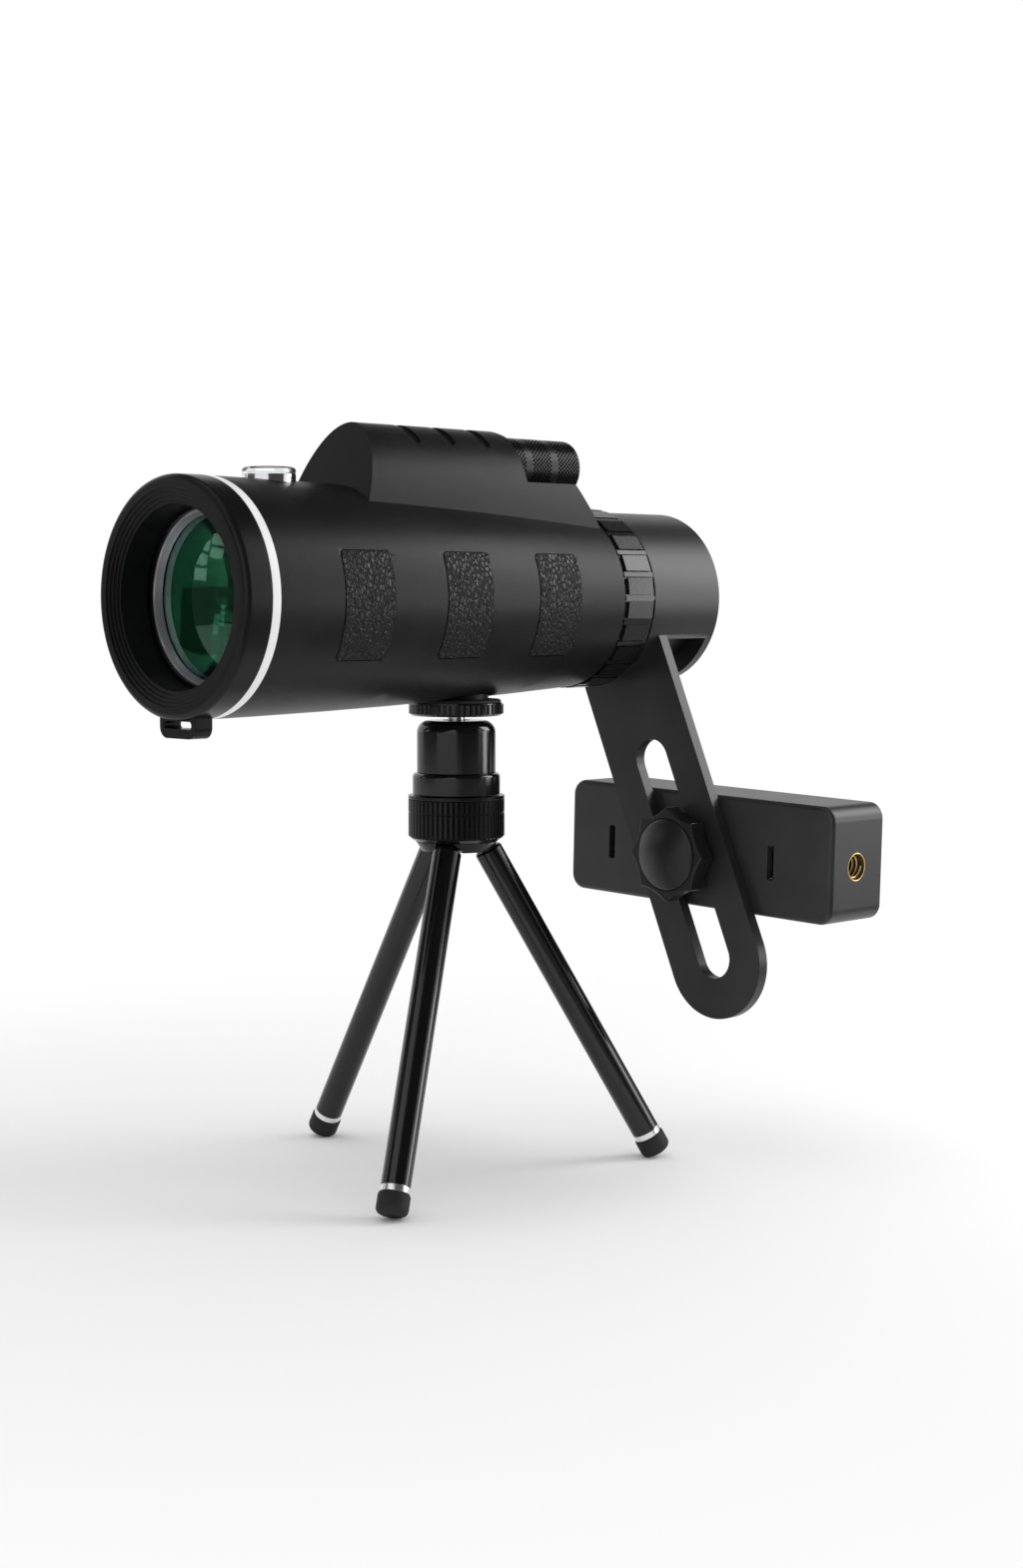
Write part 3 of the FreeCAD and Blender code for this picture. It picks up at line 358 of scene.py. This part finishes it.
cadFinish = [
    (barrelCoat, ["barrel_shell"]),
    (ringCoat, ["objective_ring", "focus_wheel"]),
    (dioptreCoat, ["diopter_ring"]),
    (paleTrim, ["trim_ring"]),
    (paleLegRing, ["leg_1_ring", "leg_2_ring", "leg_3_ring"]),
    (blackCell, ["objective_cell", "ocular_cell"]),
    (violetRetainer, ["objective_retainer"]),
    (frontCoating, ["crown_lens"]),
    (clearGlass, ["flint_lens", "focusing_lens", "field_lens", "eye_lens", "penta_prism", "roof_prism"]),
    (domeClear, ["compass_dome"]),
    (innerCoat, ["prism_holder", "focus_carriage", "eye_tube", "sleeve_liner", "friction_ring",
                 "ball_seat"]),
    (dialCard, ["compass_card"]),
    (brightSteel, ["guide_rods", "focus_screw", "guide_bars", "jaw_spring", "cover_screws", "knob_screw",
                   "leg_pins", "head_stud", "swivel_ball"]),
    (eyeRubber, ["eyecup", "clamp_pads", "sliding_jaw_pad", "platform_pad"]),
    (footRubber, ["leg_1_foot", "leg_2_foot", "leg_3_foot"]),
    (padLeather, ["grip_pads"]),
    (turnedBrass, ["tripod_bushing"]),
    (threadBrass, ["thread_insert"]),
    (compassChrome, ["compass_case"]),
    (headGloss, ["ball_cap", "neck_ring", "lock_disc"]),
    (collarCoat, ["lock_collar", "tripod_hub"]),
    (legPaint, ["leg_1_tube", "leg_2_tube", "leg_3_tube"]),
    (armCoat, ["camera_arm"]),
    (clampCoat, ["clamp_housing", "clamp_cover", "sliding_jaw"]),
    (knobCoat, ["star_knob", "knob_cap"]),
]


def bodyOf(node):
    return frame["nodes"][node]["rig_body"]


def paint(piece, material):
    piece.data.materials.clear()
    piece.data.materials.append(material)


def pickOnly(*pieces):
    bpy.ops.object.select_all(action="DESELECT")
    for piece in pieces:
        piece.select_set(True)
    bpy.context.view_layer.objects.active = pieces[0]


def applyModifier(piece, kind, **settings):
    pickOnly(piece)
    made = piece.modifiers.new(kind.lower(), kind)
    for name, value in settings.items():
        setattr(made, name, value)
    bpy.ops.object.modifier_apply(modifier=made.name)


def softened(node, name, material, edge=0.0, steps=2, angle=32, smooth=32):
    # a merged copy with softened edges takes the place of the bare node
    source = frame["nodes"][node]
    pickOnly(source)
    bpy.ops.object.duplicate()
    piece = bpy.context.active_object
    piece.parent = None
    piece.name = name
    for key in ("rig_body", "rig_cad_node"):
        if key in piece:
            del piece[key]
    pickOnly(piece)
    if piece.data.has_custom_normals:
        bpy.ops.mesh.customdata_custom_splitnormals_clear()
    bpy.ops.object.mode_set(mode="EDIT")
    bpy.ops.mesh.select_all(action="SELECT")
    bpy.ops.mesh.remove_doubles(threshold=0.002 * mm)
    bpy.ops.mesh.dissolve_limited(angle_limit=math.radians(0.3))
    bpy.ops.object.mode_set(mode="OBJECT")
    before = piece.data.copy()
    reach = piece.dimensions.copy()
    if edge:
        applyModifier(piece, "BEVEL", width=edge * mm, segments=steps, limit_method="ANGLE",
                      angle_limit=math.radians(angle), harden_normals=False)
        bpy.context.view_layer.update()
        if max(piece.dimensions[k] - reach[k] for k in range(3)) > 0.2 * mm:
            print("  edge left sharp:", node)  # a bevel that ran away
            piece.data = before
    pickOnly(piece)
    bpy.ops.object.shade_smooth_by_angle(angle=math.radians(smooth))
    applyModifier(piece, "WEIGHTED_NORMAL", weight=50, keep_sharp=True)
    paint(piece, material)
    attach(piece, bodyOf(node))
    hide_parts(node)
    return piece


print("plain nodes")
for material, nodes in cadFinish:
    for node in nodes:
        paint(frame["nodes"][node], material)

print("softened nodes")
softEdges = {
    # node: (edge radius in mm, steps)
    "barrel_shell": (0.35, 2), "objective_ring": (0.12, 2), "trim_ring": (0.2, 2),
    "diopter_ring": (0.28, 2), "camera_arm": (0.3, 2), "clamp_housing": (0.15, 2),
    "clamp_cover": (0.3, 2), "sliding_jaw": (0.4, 2), "star_knob": (0.5, 3), "knob_cap": (0.2, 2),
    "ball_cap": (0.15, 2), "neck_ring": (0.2, 2), "lock_collar": (0.12, 1), "tripod_hub": (0.15, 2),
    "lock_disc": (0.12, 1), "platform_pad": (0.15, 2), "eye_tube": (0.2, 2), "eyecup": (0.3, 2),
    "compass_case": (0.1, 2), "compass_dome": (0.0, 1), "grip_pads": (0.22, 2), "crown_lens": (0.0, 1),
    "objective_cell": (0.0, 1), "objective_retainer": (0.1, 2), "head_stud": (0.1, 2),
    "eye_lens": (0.0, 1), "ocular_cell": (0.15, 2), "knob_screw": (0.2, 2),
}
for number in (1, 2, 3):
    softEdges[f"leg_{number}_tube"] = (0.12, 2)
    softEdges[f"leg_{number}_ring"] = (0.1, 2)
    softEdges[f"leg_{number}_foot"] = (0.2, 2)
finishOf = {node: material for material, nodes in cadFinish for node in nodes}
for node, (edge, steps) in softEdges.items():
    softened(node, node + "_dressed", finishOf[node], edge, steps)


def selectNone(piece):
    bpy.ops.object.mode_set(mode="OBJECT")
    for part in (piece.data.vertices, piece.data.edges, piece.data.polygons):
        part.foreach_set("select", [False] * len(part))


def startEditing(kind):
    bpy.context.tool_settings.mesh_select_mode = (kind == "points", kind == "edges", kind == "faces")
    bpy.ops.object.mode_set(mode="EDIT")


def choosePoints(piece, wanted):
    selectNone(piece)
    for point in piece.data.vertices:
        point.select = bool(wanted(point.co))
    startEditing("points")


def chooseFaces(piece, wanted):
    selectNone(piece)
    for face in piece.data.polygons:
        face.select = bool(wanted(face))
    startEditing("faces")


def chooseEdges(piece, wanted):
    selectNone(piece)
    points = piece.data.vertices
    for edge in piece.data.edges:
        edge.select = bool(wanted(points[edge.vertices[0]].co, points[edge.vertices[1]].co))
    startEditing("edges")


def newCylinder(name, sides, radius, length, middle, turn):
    bpy.ops.object.select_all(action="DESELECT")
    bpy.ops.mesh.primitive_cylinder_add(vertices=sides, radius=radius * mm, depth=length * mm,
                                        location=[c * mm for c in middle], rotation=turn)
    piece = bpy.context.active_object
    piece.name = name
    bpy.ops.object.transform_apply(location=True, rotation=True, scale=True)
    return piece


def seat(piece, body, material, *nodes, smooth=32):
    bpy.ops.object.mode_set(mode="OBJECT")
    pickOnly(piece)
    bpy.ops.object.shade_smooth_by_angle(angle=math.radians(smooth))
    paint(piece, material)
    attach(piece, body)
    if nodes:
        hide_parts(*nodes)
    return piece


def makeFocusWheel():
    # a barrel covered in small dimples but for two plain bands, with a sunk rear end
    wheel = {"radius": 7.1, "front": 98.1, "rear": 122.7, "height": 33.1, "sides": 88, "cells": 41,
             "plain": ((103.9, 105.9), (112.6, 114.7)), "margin": 0.3, "deep": 0.34, "rim": 0.09}
    endFace = 20 * mm * mm  # only the two ends are larger than this
    length = wheel["rear"] - wheel["front"]
    piece = newCylinder("focusWheelDimpled", wheel["sides"], wheel["radius"], length,
                        (0, wheel["front"] + length / 2, wheel["height"]), (math.pi / 2, 0, 0))
    chooseEdges(piece, lambda a, b: abs(a.y - b.y) > 5 * mm)
    bpy.ops.mesh.subdivide(number_cuts=wheel["cells"] - 1)
    step = length / wheel["cells"]
    turn = 2 * math.pi / wheel["sides"]

    def isDimple(face):
        y, x, z = face.center.y / mm, face.center.x, face.center.z - wheel["height"] * mm
        near = wheel["margin"]
        if face.area > endFace or any(low - near < y < high + near for low, high in wheel["plain"]):
            return False
        column = int((y - wheel["front"]) / step)
        row = int(((math.atan2(x, z) / turn) - 0.5) % wheel["sides"] + 0.5)
        return 0 < column < wheel["cells"] - 1 and (row + column) % 2 == 0

    chooseFaces(piece, isDimple)
    bpy.ops.mesh.inset(thickness=wheel["rim"] * mm, depth=-wheel["deep"] * mm, use_individual=True)
    halfway = (wheel["front"] + length / 2) * mm
    chooseFaces(piece, lambda face: face.area > endFace and face.center.y > halfway)
    bpy.ops.mesh.inset(thickness=0.5 * mm)
    bpy.ops.mesh.inset(thickness=1.6 * mm)
    bpy.ops.mesh.inset(thickness=0.2 * mm, depth=-0.35 * mm)
    return seat(piece, "focus_wheel", ringCoat, "focus_wheel", smooth=28)


def makeThreadInsert():
    # brass sleeve with its screw thread, drawn up Z and then laid along the clamp
    insert = {"outer": 3.6, "crest": 2.6, "pitch": 1.27, "turns": 5, "length": 8.0, "lip": 0.3}
    flank = insert["pitch"] / 2
    root = insert["crest"] + flank
    bpy.ops.object.select_all(action="DESELECT")
    bpy.ops.mesh.primitive_plane_add(
        size=flank * math.sqrt(2) * mm, rotation=(math.pi / 2, math.pi / 4, 0),
        location=(root * mm, 0, -(insert["length"] - flank) * mm))
    thread = bpy.context.active_object
    bpy.ops.object.transform_apply(location=True, rotation=True, scale=True)
    choosePoints(thread, lambda place: place.x > (root + flank / 2) * mm)
    bpy.ops.mesh.delete(type="VERT")
    bpy.ops.object.mode_set(mode="OBJECT")
    applyModifier(thread, "SCREW", axis="Z", angle=2 * math.pi, screw_offset=insert["pitch"] * mm,
                  iterations=insert["turns"], steps=40, render_steps=40)
    bpy.ops.object.select_all(action="DESELECT")
    bpy.ops.mesh.primitive_cylinder_add(
        vertices=56, radius=insert["outer"] * mm, depth=insert["length"] * mm,
        end_fill_type="NOTHING", location=(0, 0, -insert["length"] / 2 * mm))
    piece = bpy.context.active_object
    piece.name = "threadedInsert"
    bpy.ops.object.transform_apply(location=True, rotation=True, scale=True)
    applyModifier(piece, "SOLIDIFY", thickness=(insert["outer"] - root + 0.02) * mm, offset=-1.0)
    applyModifier(piece, "BEVEL", width=insert["lip"] * mm, segments=2, limit_method="ANGLE")
    pickOnly(piece, thread)
    bpy.ops.object.join()
    mount = mountNamed("clamp_thread")
    axis = Vector(mount["axis"])  # the mount's place is half way down the thread
    piece.location = Vector(mount["pos_m"]) + axis * insert["length"] / 2 * mm
    piece.rotation_euler = axis.to_track_quat("Z", "Y").to_euler()
    bpy.ops.object.transform_apply(location=True, rotation=True, scale=True)
    return seat(piece, bodyOf("thread_insert"), threadBrass, "thread_insert", smooth=34)


print("focus wheel and brass thread")
makeFocusWheel()
makeThreadInsert()


studio = {
    "floorGrey": 0.93, "fadeStart": 0.10, "fadeEnd": 0.34, "floorHalf": 6.0, "midY": 0.0858,
    "roomLight": 0.75,
    "lens": 2371.7 * 36 / 1570, "camera": (0.42896, -0.31863, -0.00072), "turn": 45.35, "dip": 4.42,
}


def makeFloor():
    # pale floor under the tripod that fades to plain white further out
    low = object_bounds()[0].z
    bpy.ops.mesh.primitive_plane_add(size=2 * studio["floorHalf"], location=(0.0, studio["midY"], low))
    floor = bpy.context.active_object
    floor.name = "studioFloor"
    bpy.ops.object.transform_apply(location=True, rotation=True, scale=True)
    coat = Finish("studioFloorPaint", Roughness=0.9, SpecularIORLevel=0.1,
                  BaseColor=(*[studio["floorGrey"]] * 3, 1))
    glow = coat.node("ShaderNodeEmission", {}, {"Color": (1, 1, 1, 1), "Strength": 1.0})
    x, y, z = coat.axes()
    far = ((x * x + (y - studio["midY"]) ** 2.0) ** 0.5).ramped(studio["fadeStart"], studio["fadeEnd"])
    seen = coat.node("ShaderNodeLightPath", output="Is Camera Ray")
    blend = coat.node("ShaderNodeMixShader", {}, {0: far * seen})
    coat.tree.links.new(coat.shader.outputs[0], blend.socket.node.inputs[1])
    coat.tree.links.new(glow.socket, blend.socket.node.inputs[2])
    coat.tree.links.new(blend.socket, coat.end.inputs["Surface"])
    paint(floor, coat.material)


def makeWorld():
    # white to the eye and in gloss and glass; the light it sheds is a little lower
    world = bpy.data.worlds.new("studioWorld")
    bpy.context.scene.world = world
    world.use_nodes = True
    tree = world.node_tree
    tree.nodes.clear()
    end = tree.nodes.new("ShaderNodeOutputWorld")
    white = tree.nodes.new("ShaderNodeBackground")
    room = tree.nodes.new("ShaderNodeBackground")
    white.inputs["Strength"].default_value = 1.0
    room.inputs["Strength"].default_value = studio["roomLight"]
    for shade in (white, room):
        shade.inputs["Color"].default_value = (1, 1, 1, 1)
    path = tree.nodes.new("ShaderNodeLightPath")
    pick = tree.nodes.new("ShaderNodeMixShader")
    seen = path.outputs["Is Camera Ray"]
    for ray in ("Is Glossy Ray", "Is Transmission Ray"):
        either = tree.nodes.new("ShaderNodeMath")
        either.operation = "MAXIMUM"
        tree.links.new(seen, either.inputs[0])
        tree.links.new(path.outputs[ray], either.inputs[1])
        seen = either.outputs[0]
    tree.links.new(seen, pick.inputs[0])
    tree.links.new(room.outputs[0], pick.inputs[1])
    tree.links.new(white.outputs[0], pick.inputs[2])
    tree.links.new(pick.outputs[0], end.inputs["Surface"])


def darkFlag(name, place, target, width, height, grey, throughGlass=False):
    # a dark cloth that only shows as a dark patch in polished surfaces
    bpy.ops.object.select_all(action="DESELECT")
    bpy.ops.mesh.primitive_plane_add(size=1.0)
    flag = bpy.context.active_object
    flag.name = name
    flag.scale = (width, height, 1)
    flag.location = place
    flag.rotation_euler = (Vector(target) - Vector(place)).to_track_quat("-Z", "Y").to_euler()
    bpy.ops.object.transform_apply(location=True, rotation=True, scale=True)
    coat = Finish(name + "Cloth", BaseColor=(0, 0, 0, 1), Roughness=1.0, SpecularIORLevel=0.0,
                  EmissionColor=(1, 1, 1, 1), EmissionStrength=grey)
    paint(flag, coat.material)
    flag.visible_camera = False
    flag.visible_diffuse = False
    flag.visible_shadow = False
    flag.visible_transmission = throughGlass


def softBox(name, place, target, width, height, power):
    lamp = bpy.data.lights.new(name, "AREA")
    lamp.shape = "RECTANGLE"
    lamp.size, lamp.size_y = width, height
    lamp.energy = power
    stand = bpy.data.objects.new(name, lamp)
    bpy.context.scene.collection.objects.link(stand)
    stand.location = place
    stand.rotation_euler = (Vector(target) - Vector(place)).to_track_quat("-Z", "Y").to_euler()


middle = (0, 0.07, 0)
lampPlan = {
    "keyRear": {"place": (0.21, 0.47, 0.20), "target": (0, 0.10, 0), "width": 0.2, "height": 0.3,
                "power": 1.0},
    "stripRear": {"place": (0.50, 0.66, -0.02), "target": (0, 0.09, -0.05), "width": 0.2, "height": 0.22,
                  "power": 0.62},
    "topSoft": {"place": (-0.1, -0.1, 0.95), "target": middle, "width": 0.8, "height": 0.8,
                "power": 1.5},
}
# a window of two panes across and four up, far to the left
window = {"middle": (-0.92, -0.69, 0.24), "columns": (-0.5, 0.5), "rows": (-1.5, -0.5, 0.5, 1.5),
          "pane": (0.13, 0.048), "bar": 0.014, "lean": 0.1, "power": 0.032}
flagPlan = {
    "darkCeiling": {"place": (0, 0.2, 0.98), "target": (0, 0.2, 0), "width": 2.6, "height": 2.2,
                    "grey": 0.04},
    "darkRight": {"place": (1.19, -0.10, 0.3), "target": middle, "width": 1.7, "height": 1.6, "grey": 0.06},
    "darkBack": {"place": (-0.05, 1.45, 0.45), "target": middle, "width": 1.0, "height": 1.4, "grey": 0.15},
    "darkFront": {"place": (-0.86, -1.02, 0.28), "target": middle, "width": 1.5, "height": 1.1, "grey": 0.1,
                  "throughGlass": True},
    "darkLow": {"place": (0.62, 0.30, -0.138), "target": (0.62, 0.30, 0.5), "width": 1.0, "height": 1.5,
                "grey": 0.3},
}
print("studio")
makeFloor()
makeWorld()
for name, lamp in lampPlan.items():
    softBox(name, **lamp)
across = Vector((window["middle"][1], -window["middle"][0], 0)).normalized()
for column in window["columns"]:
    for row in window["rows"]:
        shift = across * column * (window["pane"][0] + window["bar"])
        shift.z = row * (window["pane"][1] + window["bar"]) - column * window["lean"]
        softBox(f"windowPane{column:+.1f}{row:+.1f}", Vector(window["middle"]) + shift, middle,
                *window["pane"], window["power"])
for name, flag in flagPlan.items():
    darkFlag(name, **flag)

eye = bpy.data.cameras.new("photoCamera")
eye.lens = studio["lens"]
eye.sensor_width = 36
eye.clip_start = 0.01
camera = bpy.data.objects.new("photoCamera", eye)
bpy.context.scene.collection.objects.link(camera)
camera.location = studio["camera"]
camera.rotation_euler = (math.radians(90 - studio["dip"]), 0, math.radians(studio["turn"]))
bpy.context.scene.camera = camera
bpy.context.scene.view_settings.view_transform = "Standard"
